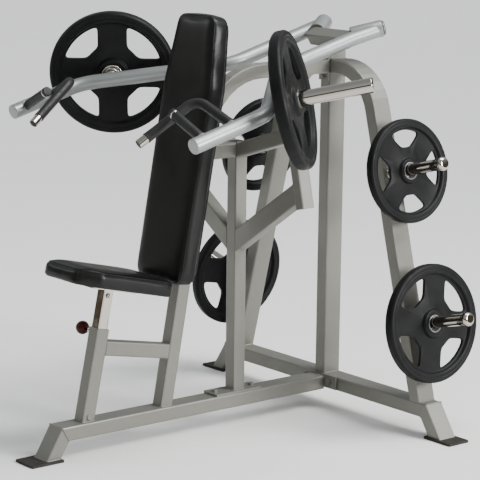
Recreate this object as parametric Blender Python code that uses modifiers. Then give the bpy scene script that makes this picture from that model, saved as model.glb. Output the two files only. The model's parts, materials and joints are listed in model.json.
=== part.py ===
"""Plate-loaded leverage shoulder press with two independent, converging arms.

Metres, +Z up. The seat end is the front, towards -Y; X = 0 is the mirror plane, and "right" is +X.
Lengthwise stations are measured from the front face of the rear cross beam, with at() placing them.
"""

import math
from collections import namedtuple

import bmesh
import bpy
from mathutils import Vector

# Frame of reference
CROSS_FRONT = 0.516  # from the origin back to the front face of the rear cross beam
GAP = 0.0003  # between pieces that touch
SIDES = (("right", 1), ("left", -1))
UP = Vector((0, 0, 1))
WIDTHWISE = Vector((1, 0, 0))
LENGTHWISE = Vector((0, 1, 0))

# Stock sizes
SQUARE = 0.050  # side of the square tube
DEEP = 0.076  # long side of the 2 x 3 inch tube
WALL = 0.0028
CORNER = 0.005
PLATE = 0.008  # flanges, base plates and foot pads
ARM_RADIUS = 0.0254
ARM_WALL = 0.003
PLATE_BORE = 0.0258

# Floor frame
BEAM_Z = 0.087  # centre height of the lengthwise beam
CROSS_Z = 0.092
BEAM_TOP = BEAM_Z + SQUARE / 2
FRONT_BEND = (-1.135, BEAM_Z)
FRONT_FOOT = -1.182
REAR_BEND = 0.5416
REAR_FOOT = 0.5983
CROSS_MID = DEEP / 2
FRONT_PAD = ((-0.052, -1.275), (0.052, -1.150))
REAR_PAD = ((0.556, -0.008), (0.684, 0.084))
BEAM_FLANGE = ((-0.100, 0.0705), (0.100, 0.1185))

# Uprights
BACK_LEAN = math.radians(10.3)
BACK_FOOT = -0.713  # station of the back tube's centre line at the beam
TOP_RUN_Z = 1.2355
BACK_BEND = 0.242
SIDE_LEAN = math.radians(14.87)
SIDE_FOOT = 0.497
SIDE_BEND = 0.180
MID_Y = -0.395
MID_TOP = 0.996
MID_BASE = ((-0.038, -0.505), (0.038, -0.305))

# Arm rests
WING_RISE = math.radians(17)
REST_LEAN = math.radians(13.6)
REST_LOW = (0.3614, 0.812)
REST_TOP = 1.165
REST_DEPTH = 0.040
BRACE_RISE = math.radians(33.4)
BRACE_FOOT = 0.657
BRACE_DEPTH = 0.066
SHELF = ((0.212, -0.472), (0.302, -0.369))
SHELF_THICK = 0.009
SHELF_TOP = REST_TOP + 0.006
BUMPER = (0.245, -0.438)
BUMPER_RADIUS = 0.024
BUMPER_TOP = 1.1925

# Arm pivots
PIVOT_INNER = (0.091, 0.0375, 1.347)
PIVOT_OUTER = (0.154, 0.126, 1.3735)
BLOCK_TILT = math.radians(35)
BLOCK_CENTRE = (0.024, 1.333)
BLOCK_HALF = 0.100
BLOCK_SIZE = 0.048
SLEEVE_RADIUS = 0.030
BUSH_RADIUS = 0.023
SHAFT_RADIUS = 0.0193
SHAFT_HEAD = 0.026

# Arm centre line, from the front cap back to the sleeve
ARM_POINTS = (
    (0.510, -0.976, 1.086),
    (0.515, -0.692, 1.166),
    (0.127, -0.324, 1.247),
    (0.134, -0.006, 1.337),
)
ARM_END = (0.149, 0.131, 1.371)
ARM_BEND = 0.130

# Handles: points on their centre lines, from the arm outwards
STRAIGHT_HANDLE = ((0.510, -0.933, 1.0981), (0.350, -0.942, 1.171))
BENT_HANDLE = ((0.5128, -0.815, 1.1314), (0.347, -0.841, 1.206), (0.299, -1.035, 1.071))
HANDLE_BEND = 0.045
GRIP_RADIUS = 0.0165
ROD_RADIUS = 0.0148
GRIP_ROOT = 0.031  # bare rod at the arm end
GRIP_TIP = 0.036  # bare rod at the free end

# Weight plates and the horns that take them
ARM_PLATE = (0.225, 0.043)  # radius and thickness
ARM_HORN_ROOT = (0.4365, -0.6175, 1.1824)
ARM_HORN_AXIS = Vector((0.756, 0.616, 0.221)).normalized()
ARM_HORN_LENGTH = 0.340
HORN_RADIUS = 0.0245
COLLAR_RADIUS = 0.038
COLLAR_THICK = 0.010
PLATE_SEAT = 0.057  # from the arm's centre line to the plate's inner face
HORN_RISE = math.radians(14.6)
STORAGE_RADIUS = 0.020
STORAGE_FLANGE = 0.030
STORAGE_BULB = 0.0235
PLATE_SAG = 0.003
# base (x, z) on the side tube's centre line, peg length, plate (radius, thickness), how far out the plate's
# middle hangs, the plate's own rise, and the turn of its openings
Storage = namedtuple("Storage", "base length plate reach rise turn")
STORAGE = {
    "lower": Storage((0.454, 0.3775), 0.271, (0.205, 0.036), 0.082, math.radians(8), math.radians(35)),
    "upper": Storage((0.317, 0.888), 0.266, (0.180, 0.033), 0.080, math.radians(10.4), 0.0),
}

# Seat post
POST_LEAN = math.radians(11.5)
POST_FOOT = -1.0365
POST_TOP = 0.418
INNER_SQUARE = 0.040
INNER_OVERLAP = 0.165
PIN_DROP = 0.016  # from the post's top down to the pull pin
HOLE_PITCH = 0.025
HOLE_RADIUS = 0.006
KNOB_RADIUS = 0.023
STRUT_FALL = math.radians(10.7)
STRUT_MIDDLE = (-0.83, 0.326)

# Seat and back rest
SEAT_TILT = math.radians(13.3)
SEAT_POINT = (-0.945, 0.5565)  # on the seat's underside
SEAT_THICK = 0.056
SEAT_PLATE = (0.110, 0.190)
SEAT_OUTLINE = ((0.088, -0.196), (0.130, -0.120), (0.130, 0.182), (-0.130, 0.182), (-0.130, -0.120),
                (-0.088, -0.196))
BACK_POINT = (-0.663, 0.530)  # on the front face of the back tube
BACK_THICK = 0.078
BOARD = 0.012
SOFT_EDGE = 0.009
BACK_OUTLINE = ((0.122, 0.010), (0.125, 0.670), (0.094, 0.913), (-0.094, 0.913), (-0.125, 0.670), (-0.122, 0.010))
BOARD_OUTLINE = ((0.110, 0.022), (0.113, 0.670), (0.082, 0.901), (-0.082, 0.901), (-0.113, 0.670), (-0.110, 0.022))


def at(x, y, z):
    return Vector((x, y + CROSS_FRONT, z))


def mirrored(point, side):
    return Vector((point[0] * side, point[1], point[2]))


def leaning(angle):
    """A direction that rises and leans back by the angle."""
    return Vector((0, math.sin(angle), math.cos(angle)))


def facing(angle):
    """The forward normal of a surface that leans back by the angle."""
    return Vector((0, -math.cos(angle), math.sin(angle)))


def slid(point, run, corner, plane):
    """The point moved along the run until it lies in the plane through the corner."""
    return point + run * ((corner - point).dot(plane) / run.dot(plane))


# Outlines and paths


def box_outline(width, height, corner=CORNER, steps=2):
    points = []
    for quarter, (u, v) in enumerate(((1, 1), (-1, 1), (-1, -1), (1, -1))):
        for step in range(steps + 1):
            angle = (quarter + step / steps) * math.pi / 2
            x = u * (width / 2 - corner) + corner * math.cos(angle)
            y = v * (height / 2 - corner) + corner * math.sin(angle)
            points.append((x, y))
    return points


def round_outline(radius, sides=16):
    turns = (2 * math.pi * (i + 0.5) / sides for i in range(sides))
    return [(radius * math.cos(a), radius * math.sin(a)) for a in turns]


def arc_at(before, corner, after, radius, steps):
    """The points of a bend of this radius that replaces a corner."""
    a, b = (before - corner).normalized(), (after - corner).normalized()
    half = a.angle(b) / 2
    middle = corner + (a + b).normalized() * (radius / math.sin(half))
    start = corner + a * (radius / math.tan(half)) - middle
    axis = a.cross(b).normalized()
    sweep = math.pi - 2 * half
    turns = (sweep * i / steps for i in range(steps + 1))
    return [middle + start * math.cos(t) - axis.cross(start) * math.sin(t) for t in turns]


def bent(points, radius, steps=6):
    points = [Vector(p) for p in points]
    path = [points[0]]
    for before, corner, after in zip(points, points[1:], points[2:]):
        path += arc_at(before, corner, after, radius, steps)
    return path + [points[-1]]


def softened(outline, radius, steps=3):
    """A closed outline with each corner rounded."""
    points = [Vector((u, v, 0)) for u, v in outline]
    count = len(points)
    corners = (arc_at(points[i - 1], points[i], points[(i + 1) % count], radius, steps) for i in range(count))
    return [(p.x, p.y) for arc in corners for p in arc]


# Objects


def material(name, colour, roughness, metallic=0.0):
    made = bpy.data.materials.new(name)
    made.use_nodes = True
    shader = made.node_tree.nodes["Principled BSDF"]
    shader.inputs["Base Color"].default_value = (*colour, 1)
    shader.inputs["Roughness"].default_value = roughness
    shader.inputs["Metallic"].default_value = metallic
    return made


def new_object(name, mesh, group, finish=None):
    obj = bpy.data.objects.new(name, mesh)
    group.objects.link(obj)
    if finish:
        mesh.materials.append(finish)
        mesh.shade_smooth()
        mesh.set_sharp_from_angle(angle=math.radians(35))
    else:
        obj.hide_render = True
        obj.display_type = "WIRE"
    return obj


def place(obj, origin):
    """Moves the object's origin onto a point and leaves its mesh where it is."""
    obj.location = origin
    for vertex in obj.data.vertices:
        vertex.co -= origin
    return obj


def sweep_into(shape, path, outline, across, hole=(), cuts=(None, None)):
    """A section carried along a path, mitred at each corner; a hole in the section makes a tube."""
    path = [Vector(p) for p in path]
    runs = [(b - a).normalized() for a, b in zip(path, path[1:])]
    side = (across - runs[0] * across.dot(runs[0])).normalized()
    other = runs[0].cross(side)
    planes = [cuts[0] or runs[0]]
    planes += [(a + b).normalized() for a, b in zip(runs, runs[1:])]
    planes.append(cuts[1] or runs[-1])
    edges = []
    for ring in (outline, hole) if hole else (outline,):
        points = [path[0] + side * u + other * v for u, v in ring]
        verts = [shape.verts.new(slid(p, runs[0], path[0], planes[0])) for p in points]
        edges += [shape.edges.new(pair) for pair in zip(verts, verts[1:] + verts[:1])]
    if hole:
        faces = bmesh.ops.bridge_loops(shape, edges=edges)["faces"]
    else:
        faces = [shape.faces.new(verts)]
    keep = True
    for run, corner, plane in zip(runs, path[1:], planes[1:]):
        region = list({*faces, *(e for f in faces for e in f.edges), *(v for f in faces for v in f.verts)})
        made = bmesh.ops.extrude_face_region(shape, geom=region, use_keep_orig=keep)["geom"]
        keep = False
        faces = [item for item in made if isinstance(item, bmesh.types.BMFace)]
        for vertex in (item for item in made if isinstance(item, bmesh.types.BMVert)):
            vertex.co = slid(vertex.co, run, corner, plane)


def finished(shape, name, group, finish=None):
    bmesh.ops.recalc_face_normals(shape, faces=shape.faces)
    mesh = bpy.data.meshes.new(name)
    shape.to_mesh(mesh)
    shape.free()
    return new_object(name, mesh, group, finish)


def swept(name, path, outline, across, group, finish=None, hole=(), cuts=(None, None)):
    shape = bmesh.new()
    sweep_into(shape, path, outline, across, hole, cuts)
    return finished(shape, name, group, finish)


def tube(name, path, size, across, group, finish, cuts=(None, None)):
    """A rectangular tube; size is its width along the across direction, then its height."""
    hole = box_outline(size[0] - 2 * WALL, size[1] - 2 * WALL, CORNER - WALL)
    return swept(name, path, box_outline(*size), across, group, finish, hole, cuts)


def slab(name, low, high, group, finish, corner=0.004):
    """An upright or flat plate between two corners, with rounded vertical edges."""
    low, high = Vector(low), Vector(high)
    middle, size = (low + high) / 2, high - low
    path = (Vector((middle.x, middle.y, low.z)), Vector((middle.x, middle.y, high.z)))
    return swept(name, path, box_outline(size.x, size.y, corner), WIDTHWISE, group, finish)


def turned(name, profile, origin, axis, group, finish=None, steps=20, closed=False):
    """A profile of (radius, height) spun about the axis through the origin, top to bottom down its outside."""
    mesh = bpy.data.meshes.new(name)
    edges = [(i, i + 1) for i in range(len(profile) - 1)]
    if closed:
        edges.append((len(profile) - 1, 0))
    mesh.from_pydata([(r, 0, h) for r, h in profile], edges, [])
    obj = new_object(name, mesh, group, finish)
    screw = obj.modifiers.new("Turn", "SCREW")
    screw.steps = steps
    screw.render_steps = steps
    screw.use_merge_vertices = True
    screw.merge_threshold = 1e-5
    screw.use_smooth_shade = True
    obj.location = origin
    obj.rotation_mode = "QUATERNION"
    obj.rotation_quaternion = Vector(axis).to_track_quat("Z", "Y")
    return obj


def hexagon(centre, across_flats, height, axis, shape):
    """Adds a hexagonal bolt head that stands on the centre along the axis."""
    outline = round_outline(across_flats / math.sqrt(3), 6)
    across = WIDTHWISE if abs(axis.x) < 0.9 else LENGTHWISE
    sweep_into(shape, (centre, centre + axis * height), outline, across)


def boolean(obj, other, operation="DIFFERENCE"):
    modifier = obj.modifiers.new(operation.title(), "BOOLEAN")
    modifier.operation = operation
    modifier.object = other


def bolts_on(obj, centres, axis, group, across_flats=0.019, height=0.009):
    """Bolt heads fused to a plate; each starts a little inside it."""
    shape = bmesh.new()
    for centre in centres:
        hexagon(centre - axis * 0.003, across_flats, height + 0.003, axis, shape)
    heads = finished(shape, obj.name + "_bolts", group)
    boolean(obj, heads, "UNION")


# Floor frame


def floor_frame(parts, tools, steel, rubber):
    bend, foot = at(0, *FRONT_BEND), at(0, FRONT_FOOT, PLATE + GAP)
    down = (foot - bend).normalized()
    mitre = (LENGTHWISE - down).normalized()
    beam = (bend + LENGTHWISE * GAP, at(0, -PLATE - 2 * GAP, BEAM_Z))
    tube("main_beam", beam, (DEEP, SQUARE), WIDTHWISE, parts, steel, (mitre, None))
    leg = (bend + down * GAP, foot)
    tube("front_leg", leg, (DEEP, SQUARE), WIDTHWISE, parts, steel, (mitre, UP))
    low, high = FRONT_PAD
    slab("front_foot_pad", at(*low, 0), at(*high, PLATE), parts, rubber)

    low, high = BEAM_FLANGE
    flange = slab("beam_flange", at(low[0], -PLATE - GAP, low[1]), at(high[0], -GAP, high[1]), parts, steel, 0.002)
    height = (low[1] + high[1]) / 2
    bolts_on(flange, [at(x, -PLATE - GAP, height) for x in (-0.064, 0.064)], -LENGTHWISE, tools)

    right_end = at(REAR_BEND, CROSS_MID, CROSS_Z)
    foot = at(REAR_FOOT, CROSS_MID, PLATE + GAP)
    down = (foot - right_end).normalized()
    ends = [mirrored(right_end - WIDTHWISE * GAP, side) for side in (-1, 1)]
    mitre = (WIDTHWISE + down).normalized()
    cuts = (mirrored(mitre, -1), mitre)
    tube("rear_cross_beam", ends, (DEEP, SQUARE), LENGTHWISE, parts, steel, cuts)
    near, far = REAR_PAD
    for word, side in SIDES:
        leg = [mirrored(p, side) for p in (right_end + down * GAP, foot)]
        cuts = (mirrored(mitre, side), UP)
        tube("rear_leg_" + word, leg, (DEEP, SQUARE), LENGTHWISE, parts, steel, cuts)
        inner, outer = sorted((near[0] * side, far[0] * side))
        slab("rear_foot_pad_" + word, at(inner, near[1], 0), at(outer, far[1], PLATE), parts, rubber)


# Uprights


def back_axis_y(z):
    """Station of the back tube's centre line at a height."""
    return BACK_FOOT + math.tan(BACK_LEAN) * (z - BEAM_TOP)


def uprights(parts, tools, steel):
    under = Vector((0, -math.sin(BLOCK_TILT), math.cos(BLOCK_TILT)))
    block_face = at(0, *BLOCK_CENTRE) - under * (BLOCK_SIZE / 2 + GAP)
    top = slid(at(0, CROSS_MID, 1), UP, block_face, under)
    post = (at(0, CROSS_MID, CROSS_Z + SQUARE / 2 + GAP), top)
    tube("rear_upright", post, (SQUARE, DEEP), WIDTHWISE, parts, steel, (None, under))

    turn = at(0, back_axis_y(TOP_RUN_Z), TOP_RUN_Z)
    path = bent((at(0, BACK_FOOT, BEAM_TOP + GAP), turn, at(0, -PLATE - 2 * GAP, TOP_RUN_Z)), BACK_BEND, 8)
    tube("back_support_tube", path, (SQUARE, SQUARE), WIDTHWISE, parts, steel, (UP, None))
    half = SQUARE / 2
    low, high = at(-half, -PLATE - GAP, TOP_RUN_Z - 2 * half), at(half, -GAP, TOP_RUN_Z + 2 * half)
    flange = slab("back_tube_flange", low, high, parts, steel, 0.002)
    bolts = [at(0, -PLATE - GAP, TOP_RUN_Z + rise) for rise in (-0.0385, 0.0385)]
    bolts_on(flange, bolts, -LENGTHWISE, tools, 0.013, 0.007)

    lean = Vector((-math.sin(SIDE_LEAN), 0, math.cos(SIDE_LEAN)))
    foot = at(SIDE_FOOT, CROSS_MID, CROSS_Z + half + GAP)
    turn = foot + lean * ((TOP_RUN_Z + 0.001 - foot.z) / lean.z)
    path = bent((foot, turn, at(half + GAP, CROSS_MID, turn.z)), SIDE_BEND, 8)
    for word, side in SIDES:
        run = [mirrored(p, side) for p in path]
        tube("side_tube_" + word, run, (DEEP, SQUARE), LENGTHWISE, parts, steel, (UP, None))


def mid_upright(parts, tools, steel):
    """The upright in the middle of the beam, its base plate and the tie to the back tube."""
    low, high = MID_BASE
    base_top = BEAM_TOP + GAP + PLATE
    base = slab("mid_base_plate", at(*low, BEAM_TOP + GAP), at(*high, base_top), parts, steel)
    bolts_on(base, [at(0, y, base_top) for y in (-0.486, -0.324)], UP, tools)
    post = (at(0, MID_Y, base_top + GAP), at(0, MID_Y, MID_TOP))
    tube("mid_upright", post, (SQUARE, SQUARE), WIDTHWISE, parts, steel)
    height = MID_TOP - SQUARE / 2
    start = at(0, back_axis_y(height) + (SQUARE / 2 + GAP) / math.cos(BACK_LEAN), height)
    tie = (start, at(0, MID_Y - SQUARE / 2 - GAP, height))
    tube("tie_tube", tie, (SQUARE, SQUARE), WIDTHWISE, parts, steel, (facing(BACK_LEAN), None))


def rest_supports(parts, tools, steel, rubber):
    """The wings, braces and posts that carry the bumpers under the arms."""
    lean = Vector((-math.sin(REST_LEAN), 0, math.cos(REST_LEAN)))
    inward = Vector((-math.cos(REST_LEAN), 0, -math.sin(REST_LEAN)))
    low = at(REST_LOW[0], MID_Y, REST_LOW[1])
    face = low + inward * (REST_DEPTH / 2 + GAP)
    near, far = SHELF
    for word, side in SIDES:
        for name, rise, foot, depth in (
            ("rest_wing_", WING_RISE, MID_TOP - SQUARE / 2, SQUARE),
            ("rest_brace_", BRACE_RISE, BRACE_FOOT, BRACE_DEPTH),
        ):
            start = at(SQUARE / 2 + GAP, MID_Y, foot)
            end = slid(start, Vector((math.cos(rise), 0, math.sin(rise))), face, inward)
            path = [mirrored(p, side) for p in (start, end)]
            cuts = (WIDTHWISE, mirrored(inward, side))
            tube(name + word, path, (SQUARE, depth), LENGTHWISE, parts, steel, cuts)
        top = low + lean * ((REST_TOP - low.z) / lean.z)
        path = [mirrored(p, side) for p in (low, top)]
        post = tube("rest_post_" + word, path, (SQUARE, REST_DEPTH), LENGTHWISE, parts, steel, (None, UP))
        inner, outer = sorted((near[0] * side, far[0] * side))
        shelf_low, shelf_high = at(inner, near[1], SHELF_TOP - SHELF_THICK), at(outer, far[1], SHELF_TOP)
        shelf = slab("rest_shelf_" + word, shelf_low, shelf_high, tools, None)
        boolean(post, shelf, "UNION")
        height = BUMPER_TOP - SHELF_TOP - GAP
        r = BUMPER_RADIUS
        profile = ((0, height), (r - 0.004, height), (r, height - 0.004), (r, 0), (0, 0))
        turned("rest_bumper_" + word, profile, at(BUMPER[0] * side, BUMPER[1], SHELF_TOP + GAP), UP, parts, rubber)


# Seat


def seat_post(parts, tools, steel):
    """The fixed outer post with its plug and pin hole, and the strut back to the back tube."""
    up = leaning(POST_LEAN)
    foot = at(0, POST_FOOT, BEAM_TOP + GAP)
    top = at(0, POST_FOOT + math.tan(POST_LEAN) * (POST_TOP - BEAM_TOP), POST_TOP)
    outer = tube("seat_post_outer", (foot, top), (SQUARE, SQUARE), WIDTHWISE, parts, steel, (UP, None))
    profile = ((0, 0.004), (0.008, 0.004), (0.011, 0.001), (0.011, -0.002), (0, -0.002))
    low = foot + up * 0.014 + WIDTHWISE * (SQUARE / 2)
    plug = turned("post_plug", profile, low, WIDTHWISE, tools, None, 16)
    boolean(outer, plug, "UNION")
    pin = top - up * PIN_DROP
    path = (pin - WIDTHWISE * 0.032, pin - WIDTHWISE * 0.0206)
    boolean(outer, swept("pin_hole", path, round_outline(HOLE_RADIUS, 12), up, tools))

    rear = foot - facing(POST_LEAN) * (SQUARE / 2 + GAP)
    fall = Vector((0, math.cos(STRUT_FALL), -math.sin(STRUT_FALL)))
    middle = at(0, *STRUT_MIDDLE)
    start = slid(middle, fall, rear, facing(POST_LEAN))
    front = at(0, *BACK_POINT) + facing(BACK_LEAN) * GAP
    end = slid(middle, fall, front, facing(BACK_LEAN))
    cuts = (facing(POST_LEAN), facing(BACK_LEAN))
    tube("seat_brace", (start, end), (SQUARE, SQUARE), WIDTHWISE, parts, steel, cuts)
    return top, pin


def seat(parts, tools, chrome, vinyl, top, pin):
    """The sliding inner post with its row of holes and its top plate, and the cushion on it."""
    up, seat_up = leaning(POST_LEAN), leaning(SEAT_TILT)
    under = at(0, *SEAT_POINT)
    head = slid(top, up, under - seat_up * 0.006, seat_up)
    path = (top - up * INNER_OVERLAP, head)
    post = tube("seat_post_inner", path, (INNER_SQUARE, INNER_SQUARE), WIDTHWISE, parts, chrome, (None, seat_up))
    place(post, head)
    path = (under - seat_up * 0.008, under - seat_up * 0.001)
    boolean(post, swept("seat_plate", path, box_outline(*SEAT_PLATE, 0.012), WIDTHWISE, tools), "UNION")
    holes = bmesh.new()
    for step in range(-1, 5):
        centre = pin - up * HOLE_PITCH * step
        path = (centre - WIDTHWISE * 0.024, centre - WIDTHWISE * 0.010)
        sweep_into(holes, path, round_outline(HOLE_RADIUS, 12), up)
    boolean(post, finished(holes, "post_holes", tools))

    back = -facing(SEAT_TILT)
    bottom = under + seat_up * 0.0006
    points = [bottom + WIDTHWISE * u + back * v for u, v in softened(SEAT_OUTLINE, 0.030)]
    cushion = block("seat_pad", points, seat_up * SEAT_THICK, parts, vinyl)
    soften_edges(cushion)
    place(cushion, head)


def pull_pin(parts, chrome, red, pin):
    profile = ((0, 0.0005), (0.005, 0.0), (0.005, -0.0045), (0.0095, -0.0050), (0.0095, -0.034), (0.006, -0.036),
               (0.006, -0.050), (0, -0.050))
    tip = pin - WIDTHWISE * 0.0208
    turned("pull_pin", profile, tip, WIDTHWISE, parts, chrome, 16)
    turns = [math.pi * step / 8 for step in range(1, 8)]
    ball = [(KNOB_RADIUS * math.sin(t), KNOB_RADIUS * math.cos(t)) for t in turns]
    profile = ((0, KNOB_RADIUS), *ball, (0, -KNOB_RADIUS))
    turned("ball_knob", profile, tip - WIDTHWISE * (0.050 + GAP + KNOB_RADIUS), WIDTHWISE, parts, red, 16)


def block(name, points, rise, group, finish):
    """A flat outline of points carried straight along the rise."""
    shape = bmesh.new()
    face = shape.faces.new([shape.verts.new(p) for p in points])
    made = bmesh.ops.extrude_face_region(shape, geom=[face], use_keep_orig=True)["geom"]
    verts = [item for item in made if isinstance(item, bmesh.types.BMVert)]
    bmesh.ops.translate(shape, vec=rise, verts=verts)
    return finished(shape, name, group, finish)


def soften_edges(obj):
    bevel = obj.modifiers.new("Soft edges", "BEVEL")
    bevel.width = SOFT_EDGE
    bevel.segments = 2
    bevel.limit_method = "ANGLE"
    bevel.angle_limit = math.radians(50)


def back_rest(parts, wood, vinyl):
    up, front = leaning(BACK_LEAN), facing(BACK_LEAN)
    base = at(0, *BACK_POINT)

    def layer(name, outline, start, end, finish):
        points = [base + front * start + WIDTHWISE * u + up * v for u, v in softened(outline, 0.036)]
        return block(name, points, front * (end - start), parts, finish)

    layer("back_board", BOARD_OUTLINE, GAP, BOARD, wood)
    soften_edges(layer("back_pad", BACK_OUTLINE, BOARD + 2 * GAP, BACK_THICK, vinyl))


# Arms and their pivots


def pivots(parts, tools, steel, dark, bronze):
    tilt = Vector((0, math.cos(BLOCK_TILT), math.sin(BLOCK_TILT)))
    ends = [at(side * BLOCK_HALF, *BLOCK_CENTRE) for side in (-1, 1)]
    carrier = swept("pivot_block", ends, box_outline(BLOCK_SIZE, BLOCK_SIZE, 0.004), tilt, parts, steel)
    for word, side in SIDES:
        inner, outer = (mirrored(at(*p), side) for p in (PIVOT_INNER, PIVOT_OUTER))
        axis = (outer - inner).normalized()
        length = (outer - inner).length
        face = inner - axis * 0.0015
        cutter = swept("block_cut_" + word, (face, face + axis * 0.2), box_outline(0.3, 0.3), UP, tools)
        boolean(carrier, cutter)
        head, shaft, root = SHAFT_HEAD, SHAFT_RADIUS, -0.0015 + GAP
        profile = ((0, length + 0.010), (head - 0.004, length + 0.010), (head, length + 0.006),
                   (head, length + 0.0006), (shaft, length + 0.0006), (shaft, root), (0, root))
        turned("pivot_shaft_" + word, profile, inner, axis, parts, dark)
        outside, inside = BUSH_RADIUS, SHAFT_RADIUS + 0.0005
        profile = ((inside, length - 0.0004), (outside, length - 0.0004), (outside, 0.0004), (inside, 0.0004))
        turned("pivot_bush_" + word, profile, inner, axis, parts, bronze, closed=True)


def arm_path(side, last):
    points = [mirrored(at(*p), side) for p in (*ARM_POINTS, *last)]
    return bent(points[:4], ARM_BEND, 5) + points[4:]


def press_arms(parts, tools, silver, chrome, grip):
    for word, side in SIDES:
        inner, outer = (mirrored(at(*p), side) for p in (PIVOT_INNER, PIVOT_OUTER))
        axis = (outer - inner).normalized()
        length = (outer - inner).length
        path = arm_path(side, (ARM_END,))
        path[-1] = slid(path[-1], (path[-1] - path[-2]).normalized(), outer - axis * 0.001, axis)
        arm = swept("press_arm_" + word, path, round_outline(ARM_RADIUS), UP, parts, silver, cuts=(None, axis))
        place(arm, inner)
        profile = ((0, length), (SLEEVE_RADIUS, length), (SLEEVE_RADIUS, 0), (0, 0))
        sleeve = turned("sleeve_" + word, profile, inner, axis, tools)
        boolean(arm, sleeve, "UNION")
        hollow = arm_path(side, ())
        hollow[0] = hollow[0] + (hollow[0] - hollow[1]).normalized() * 0.01
        bore = swept("arm_bore_" + word, hollow, round_outline(ARM_RADIUS - ARM_WALL), UP, tools)
        boolean(arm, bore)
        radius = BUSH_RADIUS + 0.0004
        profile = ((0, length + 0.05), (radius, length + 0.05), (radius, -0.05), (0, -0.05))
        bore = turned("sleeve_bore_" + word, profile, inner, axis, tools)
        boolean(arm, bore)

        front = (path[0] - path[1]).normalized()
        profile = ((0, 0.005), (ARM_RADIUS - 0.003, 0.005), (ARM_RADIUS, 0.002), (ARM_RADIUS, GAP), (0, GAP))
        turned("arm_end_cap_" + word, profile, path[0], front, parts, silver, 16)

        envelope = swept("arm_envelope_" + word, path, round_outline(ARM_RADIUS + 2 * GAP), UP, tools)
        horn(word, side, parts, chrome, envelope)
        handles(word, side, parts, chrome, grip, envelope)


def horn(word, side, parts, chrome, envelope):
    """The peg on the arm that takes the weight plates, with its stop collar."""
    root = mirrored(at(*ARM_HORN_ROOT), side)
    axis = mirrored(ARM_HORN_AXIS, side)
    top, seat_at = ARM_HORN_LENGTH, PLATE_SEAT - 2 * GAP
    profile = ((0, top), (HORN_RADIUS - 0.004, top), (HORN_RADIUS, top - 0.004), (HORN_RADIUS, seat_at),
               (COLLAR_RADIUS, seat_at), (COLLAR_RADIUS, seat_at - COLLAR_THICK),
               (HORN_RADIUS, seat_at - COLLAR_THICK), (HORN_RADIUS, 0.010), (0, 0.010))
    obj = turned("arm_horn_" + word, profile, root, axis, parts, chrome)
    boolean(obj, envelope)


def handles(word, side, parts, chrome, grip, envelope):
    """The straight handle near the arm's front, and the bent one behind it with its grip."""
    root, tip = (mirrored(at(*p), side) for p in STRAIGHT_HANDLE)
    path = (root + (tip - root).normalized() * 0.012, tip)
    straight = swept("straight_handle_" + word, path, round_outline(GRIP_RADIUS, 12), UP, parts, grip)
    boolean(straight, envelope)

    root, corner, tip = (mirrored(at(*p), side) for p in BENT_HANDLE)
    run, down = (corner - root).normalized(), (tip - corner).normalized()
    core = bent((root + run * 0.008, corner, tip), HANDLE_BEND, 4)
    rod = swept("bent_handle_" + word, core, round_outline(ROD_RADIUS, 12), UP, parts, chrome)
    boolean(rod, envelope)
    path = bent((root + run * GRIP_ROOT, corner, tip - down * GRIP_TIP), HANDLE_BEND, 4)
    hole = round_outline(ROD_RADIUS + 2 * GAP, 12)
    swept("bent_grip_" + word, path, round_outline(GRIP_RADIUS, 12), UP, parts, grip, hole)


# Storage horns and weight plates


def storage_horns(parts, chrome):
    r, bulb, flange = STORAGE_RADIUS, STORAGE_BULB, STORAGE_FLANGE
    for level, storage in STORAGE.items():
        for word, side in SIDES:
            axis = Vector((side * math.cos(HORN_RISE), 0, math.sin(HORN_RISE)))
            face = Vector((side * math.cos(SIDE_LEAN), 0, math.sin(SIDE_LEAN)))
            root = at(storage.base[0] * side, CROSS_MID, storage.base[1])
            surface = side_surface(storage.base[1], side)
            start = (surface - root).dot(face) / axis.dot(face) + 2 * GAP
            end = storage.length
            profile = ((0, end), (bulb - 0.008, end), (bulb, end - 0.008), (bulb, end - 0.022), (r, end - 0.028),
                       (r, start + 0.012), (flange, start + 0.012), (flange, start), (0, start))
            turned(f"storage_horn_{level}_{word}", profile, root, axis, parts, chrome)


def side_surface(height, side):
    """The point of the side tube's outer face that is level with its centre line at this height."""
    centre_x = SIDE_FOOT - math.tan(SIDE_LEAN) * (height - CROSS_Z - SQUARE / 2)
    normal = Vector((side * math.cos(SIDE_LEAN), 0, math.sin(SIDE_LEAN)))
    return at(centre_x * side, CROSS_MID, height) + normal * (SQUARE / 2)


def plate_profile(radius, thick):
    hub, rim, slope = 0.23 * radius, 0.84 * radius, 0.02 * radius
    low, high, chamfer = 0.34 * thick, 0.66 * thick, 0.16 * thick
    return (
        (PLATE_BORE, thick),
        (hub, thick),
        (hub + slope, high),
        (rim - slope, high),
        (rim, thick),
        (radius - chamfer, thick),
        (radius, thick - chamfer),
        (radius, chamfer),
        (radius - chamfer, 0),
        (rim, 0),
        (rim - slope, low),
        (hub + slope, low),
        (hub, 0),
        (PLATE_BORE, 0),
    )


def opening_outline(radius):
    """A hand opening centred on the first axis: an arc at each end, and sides parallel to the spokes."""
    inner, outer, spoke = 0.46 * radius, 0.79 * radius, 0.23 * radius
    near = math.pi / 4 - math.asin(spoke / inner)
    far = math.pi / 4 - math.asin(spoke / outer)
    corners = [(outer * math.cos(far * t), outer * math.sin(far * t)) for t in (-1, 0, 1)]
    corners += [(inner * math.cos(near * t), inner * math.sin(near * t)) for t in (1, -1)]
    return softened(corners, 0.022 * radius, 1)


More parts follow.
